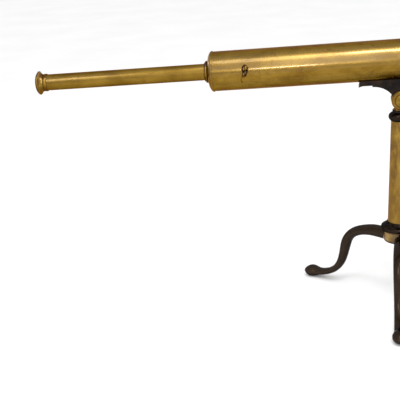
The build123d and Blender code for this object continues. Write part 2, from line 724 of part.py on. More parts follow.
def tooth(tip, root, line):
    """Half widths of a straight-sided tooth at its root and its tip."""
    slope = math.tan(TOOTH_FLANK)
    return TOOTH_THICKNESS / 2 + (line - root) * slope, TOOTH_THICKNESS / 2 - (tip - line) * slope


PINION_HALF = 3.6
SPINDLE_START = 9.0
SPINDLE_END_AT = 44.0
with BuildPart() as pinion:
    root_half, tip_half = tooth(PINION_TIP, PINION_ROOT, PINION_R)
    with BuildSketch(FOCUS):
        with Locations((KEY_X, PINION_Y)):
            Circle(PINION_ROOT + 0.1)
            with PolarLocations(0, PINION_TEETH, start_angle=-90):
                Polygon(
                    (PINION_ROOT, root_half), (PINION_ROOT, -root_half),
                    (PINION_TIP, -tip_half), (PINION_TIP, tip_half), align=None,
                )
    extrude(amount=PINION_HALF, both=True)
    with BuildSketch(FOCUS.offset(-SPINDLE_START)):
        with Locations((KEY_X, PINION_Y)):
            Circle(SPINDLE_R)
    extrude(amount=SPINDLE_START + SPINDLE_END_AT)
save(pinion, "pinion")

HUB_START = BOSS_TOP + 0.4
HUB_R = 5.2
HUB_WAIST = 4.0
HUB_LENGTH = 15.5
WING_ROOT = 1.5
WING_WAIST = 8.5
WING_LOBE = 15.8
WING_SPAN = 20.4
WING_HALF = 2.4
KEY_TURN = math.radians(18)
with BuildPart() as focus_key:
    # turned hub: foot, waist, rounded end
    across_spindle = Plane(SPINDLE_AXIS.position, x_dir=FOCUS.y_dir, z_dir=FOCUS.x_dir)
    with BuildSketch(across_spindle) as outline:
        with BuildLine():
            end = cap_arc_up((0, HUB_START + HUB_LENGTH), 2.2, HUB_WAIST + 0.6)
            Polyline(
                (0, HUB_START + HUB_LENGTH), (0, HUB_START), (HUB_R, HUB_START), (HUB_R, HUB_START + 1.4),
                (HUB_WAIST, HUB_START + 2.8), end @ 1,
            )
        make_face()
    revolve(outline.sketch, axis=SPINDLE_AXIS)
    # two rounded wings, in one plane with the spindle
    wing_way = FOCUS.y_dir * math.cos(KEY_TURN) + FOCUS.x_dir * math.sin(KEY_TURN)
    wing_plane = Plane(SPINDLE_AXIS.position, x_dir=wing_way, z_dir=wing_way.cross(FOCUS.z_dir))
    with BuildSketch(wing_plane) as wings:
        for way in (-1, 1):
            with BuildLine():
                Spline(
                    (way * WING_ROOT, HUB_START + 4.0),
                    (way * WING_WAIST, HUB_START + 5.4),
                    (way * WING_LOBE, HUB_START + 5.8),
                    (way * WING_SPAN, HUB_START + 10.6),
                    (way * WING_LOBE, HUB_START + 15.4),
                    (way * WING_WAIST, HUB_START + 12.8),
                    (way * WING_ROOT, HUB_START + 13.0),
                )
                Line((way * WING_ROOT, HUB_START + 13.0), (way * WING_ROOT, HUB_START + 4.0))
            make_face()
    extrude(wings.sketch, amount=WING_HALF, both=True)
    with BuildSketch(FOCUS.offset(HUB_START - 1)):
        with Locations((KEY_X, PINION_Y)):
            Circle(SPINDLE_R + SEATED)
    extrude(amount=SPINDLE_END_AT + 1 - HUB_START, mode=Mode.SUBTRACT)
save(focus_key, "focus_key")

# ---------------------------------------------------------------- focusing tube: racked in and out
COLLAR_FACE = -368.0
COLLAR_R = 21.2
COLLAR_LIP_R = 18.0
COLLAR_BACK_R = 19.0
LINING_LENGTH = 26.0
FOCUS_REAR = -362.5
FOCUS_FRONT = -195.0
RACK_START = -300.0
RACK_END = -222.0
RACK_FOOT = 17.0
RACK_HALF_WIDTH = 2.5
with BuildPart() as focus_tube:
    turn_tube(sleeve(FOCUS_REAR, FOCUS_FRONT, FOCUS_R, FOCUS_BORE_R))
save(focus_tube, "focus_tube")

with BuildPart() as focus_rack:
    with BuildSketch(FOCUS):
        with Locations(((RACK_START + RACK_END) / 2, (RACK_FOOT + RACK_ROOT) / 2)):
            Rectangle(RACK_END - RACK_START, RACK_ROOT - RACK_FOOT)
        count = int((RACK_END - RACK_START) / TOOTH_PITCH)
        root_half, tip_half = tooth(RACK_TIP, RACK_ROOT, RACK_LINE)
        # a gap stands opposite the pinion's lowest tooth
        first = KEY_X - 2.5 * TOOTH_PITCH
        for index in range(count - 1):
            middle = first + index * TOOTH_PITCH
            Polygon(
                (middle - root_half, RACK_ROOT - 0.1), (middle + root_half, RACK_ROOT - 0.1),
                (middle + tip_half, RACK_TIP), (middle - tip_half, RACK_TIP), align=None,
            )
    extrude(amount=RACK_HALF_WIDTH, both=True)
    # the rack is soldered along the tube, so its underside follows the tube
    turn_tube(sleeve(RACK_START - 1, RACK_END + 1, FOCUS_R, 10), Mode.SUBTRACT)
save(focus_rack, "focus_rack")

with BuildPart() as guide_collar:
    with BuildSketch(TUBE):
        with BuildLine():
            Polyline(
                (FOCUS_REAR, FOCUS_R),
                (FOCUS_REAR, FOCUS_BORE_R + 0.2),
                (COLLAR_FACE, FOCUS_BORE_R + 0.2),
                (COLLAR_FACE, COLLAR_LIP_R - 0.6),
                (COLLAR_FACE + 0.6, COLLAR_LIP_R),
                (COLLAR_FACE + 1.6, COLLAR_LIP_R),
                (COLLAR_FACE + 2.0, COLLAR_LIP_R + 0.6),
            )
            ThreePointArc(
                (COLLAR_FACE + 2.0, COLLAR_LIP_R + 0.6),
                (COLLAR_FACE + 4.4, COLLAR_R),
                (COLLAR_FACE + 6.8, COLLAR_BACK_R + 0.4),
            )
            Polyline(
                (COLLAR_FACE + 6.8, COLLAR_BACK_R + 0.4),
                (COLLAR_FACE + 8.1, COLLAR_BACK_R),
                (COLLAR_FACE + 8.1, FOCUS_R),
                (FOCUS_REAR, FOCUS_R),
            )
        make_face()
    revolve(axis=TUBE_AXIS)
save(guide_collar, "guide_collar")

LINING_R = DRAW_R + GAP
with BuildPart() as collar_lining:
    turn_tube(sleeve(COLLAR_FACE + 0.4, COLLAR_FACE + LINING_LENGTH, FOCUS_BORE_R, LINING_R))
save(collar_lining, "collar_lining")

# ---------------------------------------------------------------- draw tube: pulled out by hand
DRAW_FRONT = -205.0
DRAW_REAR = -686.0
GUIDE_RING_LENGTH = 6.0
GUIDE_RING_BORE = 13.0
with BuildPart() as draw_tube:
    turn_tube(sleeve(DRAW_REAR, DRAW_FRONT, DRAW_R, DRAW_BORE_R))
save(draw_tube, "draw_tube")

with BuildPart() as draw_guide_ring:
    turn_tube(sleeve(DRAW_FRONT, DRAW_FRONT + GUIDE_RING_LENGTH, FOCUS_BORE_R - GAP, GUIDE_RING_BORE))
save(draw_guide_ring, "draw_guide_ring")

SLEEVE_R = 17.3
SLEEVE_REAR = -687.4
SLEEVE_FRONT = -680.6
with BuildPart() as eyepiece_sleeve:
    with BuildSketch(TUBE):
        with BuildLine():
            Line((SLEEVE_REAR, DRAW_R), (SLEEVE_REAR, SLEEVE_R - 0.9))
            ThreePointArc(
                (SLEEVE_REAR, SLEEVE_R - 0.9),
                ((SLEEVE_REAR + SLEEVE_FRONT) / 2, SLEEVE_R),
                (SLEEVE_FRONT, SLEEVE_R - 0.9),
            )
            Polyline((SLEEVE_FRONT, SLEEVE_R - 0.9), (SLEEVE_FRONT, DRAW_R), (SLEEVE_REAR, DRAW_R))
        make_face()
    revolve(axis=TUBE_AXIS)
save(eyepiece_sleeve, "eyepiece_sleeve")

CUP_R = 23.1
RIM_EDGE_R = CUP_R - 0.8
RIM_START = EYE_FACE + 4.2
RIM_END = EYE_FACE + 7.0
RIM_CREST = (RIM_START + RIM_END) / 2
EYE_HOLE_R = 5.5
CUP_BORE_R = 12.6
CUP_SOCKET_R = 14.0
CUP_SHELF = -696.0
CUP_JOINT = SLEEVE_REAR - 0.2
with BuildPart() as eyepiece_cup:
    with BuildSketch(TUBE):
        with BuildLine():
            # dished eye hole, domed face, rounded rim, hollow flare to the joint
            Line((CUP_SHELF, EYE_HOLE_R), (EYE_FACE + 2.4, EYE_HOLE_R))
            ThreePointArc((EYE_FACE + 2.4, EYE_HOLE_R), (EYE_FACE + 0.6, 9.2), (EYE_FACE, 13.4))
            ThreePointArc((EYE_FACE, 13.4), (EYE_FACE + 1.3, 18.8), (RIM_START, RIM_EDGE_R))
            ThreePointArc((RIM_START, RIM_EDGE_R), (RIM_CREST, CUP_R), (RIM_END, RIM_EDGE_R))
            ThreePointArc((RIM_END, RIM_EDGE_R), (RIM_END + 2.8, 18.4), (CUP_JOINT, SLEEVE_R - 0.7))
            Polyline(
                (CUP_JOINT, SLEEVE_R - 0.7),
                (CUP_JOINT, CUP_SOCKET_R),
                (DRAW_REAR - 0.2, CUP_SOCKET_R),
                (DRAW_REAR - 0.2, CUP_BORE_R),
                (CUP_SHELF, CUP_BORE_R),
                (CUP_SHELF, EYE_HOLE_R),
            )
        make_face()
    revolve(axis=TUBE_AXIS)
save(eyepiece_cup, "eyepiece_cup")

CELL_REAR = CUP_SHELF + 0.2
CELL_FRONT = -640.0
CELL_STEP = DRAW_REAR + 0.2
CELL_R = DRAW_BORE_R - 0.1
EYE_LENS_R = 11.3
FIELD_LENS_R = 12.7
with BuildPart() as eyepiece_cell:
    turn_tube([
        (CELL_REAR, EYE_LENS_R + 0.1),
        (CELL_REAR, CUP_BORE_R - 0.1),
        (CELL_STEP, CUP_BORE_R - 0.1),
        (CELL_STEP, CELL_R),
        (CELL_FRONT, CELL_R),
        (CELL_FRONT, FIELD_LENS_R - 0.7),
        (CELL_FRONT - 2.5, FIELD_LENS_R - 0.7),
        (CELL_FRONT - 2.5, FIELD_LENS_R + 0.1),
        (CELL_STEP + 1.8, FIELD_LENS_R + 0.1),
        (CELL_STEP + 1.8, EYE_LENS_R + 0.1),
    ])
save(eyepiece_cell, "eyepiece_cell")


def lens(start, middle_half, edge_half, radius):
    """Biconvex lens round the tube's axis, centred at start."""
    with BuildSketch(TUBE) as outline:
        with BuildLine():
            Line((start - middle_half, 0), (start + middle_half, 0))
            rear = cap_arc((start - middle_half, 0), middle_half - edge_half, radius, 1)
            front = cap_arc((start + middle_half, 0), middle_half - edge_half, radius, -1)
            Line(rear @ 1, front @ 1)
        make_face()
    revolve(outline.sketch, axis=TUBE_AXIS)


with BuildPart() as eye_lens:
    lens(CELL_REAR + 4.3, 2.4, 1.0, EYE_LENS_R)
save(eye_lens, "eye_lens")
with BuildPart() as field_lens:
    lens(CELL_FRONT - 6.5, 2.6, 1.0, FIELD_LENS_R)
save(field_lens, "field_lens")

FIELD_STOP_AT = -672.0
STOP_DEPTH = 2.0
with BuildPart() as field_stop:
    turn_tube(sleeve(FIELD_STOP_AT, FIELD_STOP_AT + STOP_DEPTH, FIELD_LENS_R, 7.0))
save(field_stop, "field_stop")

ERECTOR_START = -560.0
ERECTOR_END = -430.0
ERECTOR_LENS_R = 13.1
with BuildPart() as erector_tube:
    turn_tube(sleeve(ERECTOR_START, ERECTOR_END, CELL_R, ERECTOR_LENS_R + 0.1))
save(erector_tube, "erector_tube")
with BuildPart() as erector_lenses:
    for place in (ERECTOR_START + 6, ERECTOR_END - 6):
        lens(place, 2.4, 1.2, ERECTOR_LENS_R)
save(erector_lenses, "erector_lenses")
with BuildPart() as erector_stop:
    middle = (ERECTOR_START + ERECTOR_END) / 2
    turn_tube(sleeve(middle - STOP_DEPTH, middle, ERECTOR_LENS_R, 2.5))
save(erector_stop, "erector_stop")

# ---------------------------------------------------------------- inside the barrel's front
BAFFLE_WALL = 1.2
BAFFLE_RIM = 8.0
with BuildPart() as barrel_baffles:
    for place, aperture in ((40, 22), (230, 26), (400, 30)):
        turn_tube(sleeve(place, place + BAFFLE_WALL, BARREL_BORE - 0.1, aperture))
        turn_tube(sleeve(place, place + BAFFLE_RIM, BARREL_BORE - 0.1, BARREL_BORE - BAFFLE_WALL))
save(barrel_baffles, "barrel_baffles")

CELL_BACK = 518.0
LENS_SHELF = 523.0
CELL_FACE = 546.0
FLINT_REAR = LENS_SHELF + 0.2
FLINT_MIDDLE = FLINT_REAR + 4.0
CROWN_MIDDLE = FLINT_MIDDLE + 0.3
CROWN_FRONT = 536.0
RING_BACK = 534.6
RING_FRONT = 541.0
LENS_R = 33.0
CONTACT_RISE = 3.2
with BuildPart() as objective_cell:
    turn_tube([
        (CELL_BACK, BARREL_BORE - 0.1),
        (CELL_BACK, LENS_R - 1.5),
        (LENS_SHELF, LENS_R - 1.5),
        (LENS_SHELF, LENS_R + 0.1),
        (CELL_FACE - 2.0, LENS_R + 0.1),
        (CELL_FACE, LENS_R + 1.6),
        (CELL_FACE, BARREL_R - 0.6),
        (CELL_FACE - 0.6, BARREL_R),
        (BARREL_FRONT, BARREL_R),
        (BARREL_FRONT, BARREL_BORE - 0.1),
    ])
save(objective_cell, "objective_cell")

with BuildPart() as flint_lens:
    with BuildSketch(TUBE):
        with BuildLine():
            hollow = cap_arc((FLINT_MIDDLE, 0), CONTACT_RISE, LENS_R, 1)
            Polyline((FLINT_MIDDLE, 0), (FLINT_REAR, 0), (FLINT_REAR, LENS_R), hollow @ 1)
        make_face()
    revolve(axis=TUBE_AXIS)
save(flint_lens, "flint_lens")

with BuildPart() as crown_lens:
    with BuildSketch(TUBE):
        with BuildLine():
            rear = cap_arc((CROWN_MIDDLE, 0), CONTACT_RISE, LENS_R, 1)
            front = cap_arc((CROWN_FRONT, 0), 3.0, LENS_R, -1)
            Line(rear @ 1, front @ 1)
            Line(front @ 0, rear @ 0)
        make_face()
    revolve(axis=TUBE_AXIS)
save(crown_lens, "crown_lens")

with BuildPart() as retaining_ring:
    turn_tube([
        (RING_BACK, LENS_R), (RING_BACK, LENS_R - 2), (RING_BACK + 1.9, LENS_R - 3),
        (RING_FRONT, LENS_R - 3), (RING_FRONT, LENS_R),
    ])
save(retaining_ring, "retaining_ring")

# ---------------------------------------------------------------- ray shade: slides forward
SHADE_BORE = BARREL_R + GAP + 0.1
SHADE_R = SHADE_BORE + 1.3
SHADE_REAR = 458.0
SHADE_FRONT = 552.0
BEAD_LENGTH = 6.0
with BuildPart() as ray_shade:
    with BuildSketch(TUBE):
        with BuildLine():
            Polyline(
                (SHADE_FRONT, SHADE_BORE),
                (SHADE_REAR, SHADE_BORE),
                (SHADE_REAR, SHADE_R + 0.4),
                (SHADE_REAR + 3, SHADE_R + 0.4),
                (SHADE_REAR + 3, SHADE_R),
                (SHADE_FRONT - BEAD_LENGTH, SHADE_R),
            )
            ThreePointArc(
                (SHADE_FRONT - BEAD_LENGTH, SHADE_R),
                (SHADE_FRONT - BEAD_LENGTH / 2, SHADE_R + 2.0),
                (SHADE_FRONT, SHADE_R),
            )
            Line((SHADE_FRONT, SHADE_R), (SHADE_FRONT, SHADE_BORE))
        make_face()
    revolve(axis=TUBE_AXIS)
save(ray_shade, "ray_shade")
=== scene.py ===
import json
import math

import bpy
from mathutils import Matrix, Vector

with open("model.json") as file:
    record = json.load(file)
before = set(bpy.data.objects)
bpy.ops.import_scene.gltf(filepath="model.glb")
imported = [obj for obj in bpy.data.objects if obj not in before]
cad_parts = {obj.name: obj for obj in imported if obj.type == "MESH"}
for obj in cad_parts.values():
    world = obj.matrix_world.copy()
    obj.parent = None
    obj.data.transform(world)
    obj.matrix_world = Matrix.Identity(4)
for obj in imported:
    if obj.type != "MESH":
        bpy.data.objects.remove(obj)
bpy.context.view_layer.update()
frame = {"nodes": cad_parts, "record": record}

# ------------------------------------------------------------------ the frame's own measures
PITCH = math.radians(1.5)
PIVOT = Vector((0, 0, 0.4005))
PIVOT_TO_AXIS = 0.076
UPWARD = Vector((-math.sin(PITCH), 0, math.cos(PITCH)))
AXIS_POINT = PIVOT + UPWARD * PIVOT_TO_AXIS


# ------------------------------------------------------------------ node helpers
class Graph:
    """One material's node tree, with short calls for the nodes used here."""

    def __init__(self, name):
        self.material = bpy.data.materials.new(name)
        self.material.use_nodes = True
        self.tree = self.material.node_tree
        self.tree.nodes.clear()
        self.output = self.node("ShaderNodeOutputMaterial")
        self.shader = self.node("ShaderNodeBsdfPrincipled")
        self.link(self.shader.outputs["BSDF"], self.output.inputs["Surface"])
        coords = self.node("ShaderNodeTexCoord")
        self.coords = coords.outputs["Object"]
        self.facing = coords.outputs["Normal"]

    def node(self, kind, **settings):
        made = self.tree.nodes.new(kind)
        for key, value in settings.items():
            setattr(made, key, value)
        return made

    def link(self, source, target):
        self.tree.links.new(source, target)

    def set(self, **values):
        """Constants on the shader's own sockets."""
        for key, value in values.items():
            self.shader.inputs[key.replace("_", " ")].default_value = value

    def stretched(self, scale, tilt=0.0, shift=(0.0, 0.0, 0.0)):
        """Object coordinates, turned by tilt about Y, then scaled."""
        level = self.node("ShaderNodeMapping")
        level.inputs["Rotation"].default_value = (0.0, tilt, 0.0)
        level.inputs["Location"].default_value = shift
        self.link(self.coords, level.inputs["Vector"])
        sized = self.node("ShaderNodeMapping")
        sized.inputs["Scale"].default_value = scale
        self.link(level.outputs["Vector"], sized.inputs["Vector"])
        return sized.outputs["Vector"]

    def noise(self, vector, scale, detail=4.0, roughness=0.55, distortion=0.0):
        made = self.node("ShaderNodeTexNoise")
        made.inputs["Scale"].default_value = scale
        made.inputs["Detail"].default_value = detail
        made.inputs["Roughness"].default_value = roughness
        made.inputs["Distortion"].default_value = distortion
        self.link(vector, made.inputs["Vector"])
        return made.outputs["Fac"]

    def ramp(self, value, stops, smooth=False):
        """Colour ramp; stops are (place, colour or grey)."""
        made = self.node("ShaderNodeValToRGB")
        band = made.color_ramp
        band.interpolation = "EASE" if smooth else "LINEAR"
        while len(band.elements) < len(stops):
            band.elements.new(0.5)
        for element, (place, colour) in zip(band.elements, stops):
            element.position = place
            if isinstance(colour, (int, float)):
                colour = (colour, colour, colour)
            element.color = (*colour, 1.0)
        self.link(value, made.inputs["Fac"])
        return made.outputs["Color"]

    def mix(self, amount, first, second, blend="MIX"):
        """Mixes two colours; each may be a socket or a colour."""
        made = self.node("ShaderNodeMix", data_type="RGBA", blend_type=blend)
        for value, socket in ((amount, made.inputs[0]), (first, made.inputs[6]), (second, made.inputs[7])):
            if isinstance(value, bpy.types.NodeSocket):
                self.link(value, socket)
            elif isinstance(value, (int, float)):
                socket.default_value = value
            else:
                socket.default_value = (*value, 1.0)
        return made.outputs[2]

    def math(self, operation, first, second=0.5):
        made = self.node("ShaderNodeMath", operation=operation)
        for value, socket in ((first, made.inputs[0]), (second, made.inputs[1])):
            if isinstance(value, (int, float)):
                socket.default_value = value
            else:
                self.link(value, socket)
        return made.outputs["Value"]

    def facing_ramp(self, axis, stops):
        """Ramp by how far the surface faces along an axis: 0 faces against it, 1 faces along it."""
        split = self.node("ShaderNodeSeparateXYZ")
        self.link(self.facing, split.inputs["Vector"])
        return self.ramp(self.math("ADD", self.math("MULTIPLY", split.outputs[axis], 0.5), 0.5), stops)

    def away_from(self, place):
        """Distance from a point, in metres."""
        made = self.node("ShaderNodeVectorMath", operation="DISTANCE")
        self.link(self.coords, made.inputs[0])
        made.inputs[1].default_value = place
        return made.outputs["Value"]

    def crevice(self, distance, stops):
        """Grey value that goes to the first stop in narrow recesses."""
        made = self.node("ShaderNodeAmbientOcclusion", samples=8)
        made.inputs["Distance"].default_value = distance
        return self.ramp(made.outputs["AO"], stops)

    def bump(self, height, strength, distance):
        made = self.node("ShaderNodeBump")
        made.inputs["Strength"].default_value = strength
        made.inputs["Distance"].default_value = distance
        self.link(height, made.inputs["Height"])
        self.link(made.outputs["Normal"], self.shader.inputs["Normal"])


# ------------------------------------------------------------------ brass
def aged_brass(name, bright, dull, stain, grain, tilt=0.0, rough=(0.24, 0.42), stained=0.5, recess=0.002,
               underside=None, gloss=0.10, browned_at=(), streaks=(1, 1, 1), eye_end=None, relief=0.25):
    """Old lacquered brass: cloudy tarnish, drawing marks that follow grain, brown stains, and dark recesses
    from grime with painted shade.

    The facing ramps paint shade by the way the surface faces: below and above, and towards the eyepiece
    end. The places given darken the colour to brown around them.
    """
    g = Graph(name)
    plain = g.stretched((1, 1, 1), tilt)
    longest = max(grain)
    drift = tuple(0.45 + 0.55 * k / longest for k in grain)
    clouds = g.noise(g.stretched(drift, tilt), 30, 5, 0.6, 0.3)
    colour = g.ramp(clouds, [(0.34, dull), (0.66, bright)], smooth=True)
    marks = g.noise(g.stretched(grain, tilt), 1.0, 6, 0.65)
    colour = g.mix(0.5, colour, g.ramp(marks, [(0.25, 0.72), (0.75, 1.18)]), "MULTIPLY")
    blots = g.noise(g.stretched(streaks, tilt), 42, 6, 0.7, 0.5)
    start = 0.62 - 0.12 * stained
    colour = g.mix(g.ramp(blots, [(start, 0.0), (start + 0.22, 0.8)]), colour, stain)
    specks = g.noise(plain, 330, 3, 0.55)
    colour = g.mix(g.ramp(specks, [(0.68, 0.0), (0.78, 0.7)]), colour, tuple(0.4 * k for k in stain))
    # painted shade: the colour is multiplied down by a ramp on how far the surface faces up or down
    if underside:
        colour = g.mix(1.0, colour, g.facing_ramp("Z", underside), "MULTIPLY")
    # painted shade: darker on surfaces turned towards the eyepiece end
    if eye_end:
        colour = g.mix(1.0, colour, g.facing_ramp("X", eye_end), "MULTIPLY")
    # darker brown within about 30 to 40 mm of each place given
    for place in browned_at:
        reach = g.math("ADD", g.away_from(place), g.math("MULTIPLY", blots, 0.020))
        colour = g.mix(g.ramp(reach, [(0.030, 0.85), (0.040, 0.0)]), colour, tuple(0.55 * k for k in stain))
    # recesses go to dark brown: grime in the hollows and painted shade where they are shaded
    grime_and_shade_clear = g.crevice(recess, [(0.35, 0.0), (0.85, 1.0)])
    colour = g.mix(grime_and_shade_clear, tuple(0.25 * k for k in stain), colour)
    g.link(colour, g.shader.inputs["Base Color"])
    worn = g.math("MULTIPLY", g.math("ADD", marks, blots), 0.5)
    g.link(g.ramp(worn, [(0.3, rough[0]), (0.7, rough[1])]), g.shader.inputs["Roughness"])
    g.bump(g.math("ADD", g.math("MULTIPLY", marks, 0.6), g.math("MULTIPLY", blots, 0.5)), relief, 0.0006)
    g.set(Metallic=1.0, Specular_Tint=(*BRASS_EDGE, 1.0), Coat_Weight=gloss, Coat_Roughness=0.10)
    if underside:
        # the coat is cut back by facing, on the underside and along the top: painted shade on the
        # reflections there, full coat where the highlights fall
        coat = [(0.40, 0.1 * gloss), (0.62, gloss), (0.84, gloss), (0.93, 0.2 * gloss)]
        g.link(g.facing_ramp("Z", coat), g.shader.inputs["Coat Weight"])
    return g.material


ALONG_TUBE = (6, 260, 260)
UP_COLUMN = (300, 300, 5)
EVEN = (120, 120, 120)

BRASS_BRIGHT = (0.265, 0.158, 0.021)
BRASS_DULL = (0.170, 0.094, 0.009)
BRASS_STAIN = (0.10, 0.044, 0.008)
BRASS_EDGE = (0.60, 0.40, 0.17)
# painted shade by facing: darker on surfaces turned downwards and along the very top
SHADE_PAINTED_BELOW = [
    (0.0, (0.58, 0.58, 0.80)),
    (0.10, (0.70, 0.72, 0.88)),
    (0.20, (0.85, 0.83, 0.90)),
    (0.32, (0.95, 0.92, 0.92)),
    (0.45, (1.0, 0.97, 0.92)),
    (0.56, 1.0),
    (0.84, 1.0),
    (0.96, (0.80, 0.80, 1.0)),
]
# painted shade and light by facing: darker on top and underneath, a little lighter on the sides
SHADE_PAINTED_ABOVE_AND_BELOW = [
    (0.0, (0.42, 0.38, 0.36)),
    (0.30, (0.58, 0.52, 0.50)),
    (0.46, 1.15),
    (0.72, 1.15),
    (0.84, (0.50, 0.40, 0.30)),
    (1.0, (0.42, 0.36, 0.30)),
]
# painted shade by facing: darker on faces turned towards the eyepiece end
SHADE_PAINTED_TOWARDS_EYE = [(0.15, (0.20, 0.15, 0.16)), (0.28, (0.45, 0.38, 0.36)), (0.38, 1.0)]


def bronze_casting(name):
    """Dark brown-black patina over a casting, rubbed lighter in places."""
    g = Graph(name)
    plain = g.stretched((1, 1, 1))
    patches = g.noise(plain, 24, 5, 0.6)
    colour = g.ramp(patches, [(0.3, (0.018, 0.010, 0.005)), (0.7, (0.036, 0.022, 0.012))])
    rubbed = g.noise(plain, 11, 4, 0.6)
    colour = g.mix(g.ramp(rubbed, [(0.54, 0.0), (0.80, 0.7)]), colour, (0.060, 0.040, 0.025))
    pits = g.noise(plain, 520, 3, 0.6)
    colour = g.mix(g.ramp(pits, [(0.58, 0.0), (0.75, 0.7)]), colour, (0.007, 0.004, 0.003))
    g.link(colour, g.shader.inputs["Base Color"])
    g.link(g.ramp(patches, [(0.3, 0.24), (0.7, 0.40)]), g.shader.inputs["Roughness"])
    g.bump(g.math("ADD", pits, g.math("MULTIPLY", patches, 2.0)), 0.30, 0.0006)
    g.set(Metallic=1.0, Specular_Tint=(0.30, 0.24, 0.20, 1.0), Coat_Weight=0.22, Coat_Roughness=0.10)
    return g.material


def black_lacquer(name):
    """Worn black lacquer with a faint violet cast; brown brass shows through where it is rubbed."""
    g = Graph(name)
    plain = g.stretched((1, 1, 1))
    patches = g.noise(plain, 40, 4, 0.6)
    colour = g.ramp(patches, [(0.3, (0.007, 0.005, 0.006)), (0.7, (0.012, 0.009, 0.008))])
    browned = g.noise(plain, 26, 3, 0.6)
    colour = g.mix(g.ramp(browned, [(0.42, 0.0), (0.60, 0.9)]), colour, (0.032, 0.019, 0.010))
    rubbed = g.noise(plain, 130, 5, 0.7)
    colour = g.mix(g.ramp(rubbed, [(0.64, 0.0), (0.74, 0.6)]), colour, (0.13, 0.085, 0.035))
    g.link(colour, g.shader.inputs["Base Color"])
    g.link(g.ramp(patches, [(0.3, 0.16), (0.7, 0.34)]), g.shader.inputs["Roughness"])
    g.bump(rubbed, 0.15, 0.0004)
    g.set(Metallic=1.0, Specular_Tint=(0.22, 0.19, 0.20, 1.0), Coat_Weight=0.10, Coat_Roughness=0.10)
    return g.material


def steel(name, light, dark, rough):
    """Old steel with fine scratches and brown spots."""
    g = Graph(name)
    plain = g.stretched((1, 1, 1))
    scratches = g.noise(g.stretched((900, 120, 900)), 1.0, 4, 0.6)
    colour = g.ramp(scratches, [(0.3, dark), (0.7, light)])
    spots = g.noise(plain, 300, 4, 0.6)
    colour = g.mix(g.ramp(spots, [(0.58, 0.0), (0.72, 0.6)]), colour, (0.10, 0.055, 0.03))
    g.link(colour, g.shader.inputs["Base Color"])
    g.link(g.ramp(spots, [(0.3, rough), (0.7, rough + 0.2)]), g.shader.inputs["Roughness"])
    g.bump(scratches, 0.2, 0.0003)
    g.set(Metallic=1.0)
    return g.material


def blackened(name):
    """Matt blackened brass inside the tubes."""
    g = Graph(name)
    plain = g.stretched((1, 1, 1))
    patches = g.noise(plain, 60, 4, 0.6)
    g.link(g.ramp(patches, [(0.3, (0.010, 0.010, 0.010)), (0.7, (0.026, 0.024, 0.022))]),
           g.shader.inputs["Base Color"])
    g.link(g.ramp(patches, [(0.3, 0.62), (0.7, 0.8)]), g.shader.inputs["Roughness"])
    g.bump(g.noise(plain, 900, 2, 0.5), 0.15, 0.0003)
    g.set(Metallic=0.2)
    return g.material


def cloth_lining(name):
    """Thin woven cloth round the inside of the collar."""
    g = Graph(name)
    threads = g.node("ShaderNodeTexWave", wave_type="BANDS", bands_direction="X")
    threads.inputs["Scale"].default_value = 900
    g.link(g.coords, threads.inputs["Vector"])
    fuzz = g.noise(g.stretched((1, 1, 1)), 700, 4, 0.6)
    woven = g.math("ADD", g.math("MULTIPLY", threads.outputs["Fac"], 0.6), g.math("MULTIPLY", fuzz, 0.5))
    colour = g.ramp(woven, [(0.2, (0.16, 0.10, 0.05)), (0.8, (0.42, 0.30, 0.17))])
    g.link(colour, g.shader.inputs["Base Color"])
    g.link(g.ramp(fuzz, [(0.3, 0.8), (0.7, 0.95)]), g.shader.inputs["Roughness"])
    g.bump(woven, 0.4, 0.0003)
    g.set(Sheen_Weight=0.3)
    return g.material


def lens_glass(name):
    """Crown glass with a little dust."""
    g = Graph(name)
    plain = g.stretched((1, 1, 1))
    dust = g.noise(plain, 260, 5, 0.65)
    colour = g.ramp(dust, [(0.3, (0.93, 0.97, 0.95)), (0.75, (0.86, 0.92, 0.89))])
    g.link(colour, g.shader.inputs["Base Color"])
    g.link(g.ramp(dust, [(0.45, 0.02), (0.80, 0.16)]), g.shader.inputs["Roughness"])
    g.set(Transmission_Weight=1.0, IOR=1.52)
    return g.material


# ------------------------------------------------------------------ one material for each slot
LEG_AZIMUTHS = [math.radians(degrees) for degrees in (146.2, 266.2, 26.2)]
DRUM_RADIUS = 0.036
ROOT_HEIGHT = 0.120
LEG_ROOTS = [
    (DRUM_RADIUS * math.cos(turn), DRUM_RADIUS * math.sin(turn), ROOT_HEIGHT) for turn in LEG_AZIMUTHS
]


def brass(name, shade, grain, **more):
    return aged_brass(
        name,
        tuple(shade * k for k in BRASS_BRIGHT),
        tuple(shade * k for k in BRASS_DULL),
        BRASS_STAIN,
        grain,
        **more,
    )


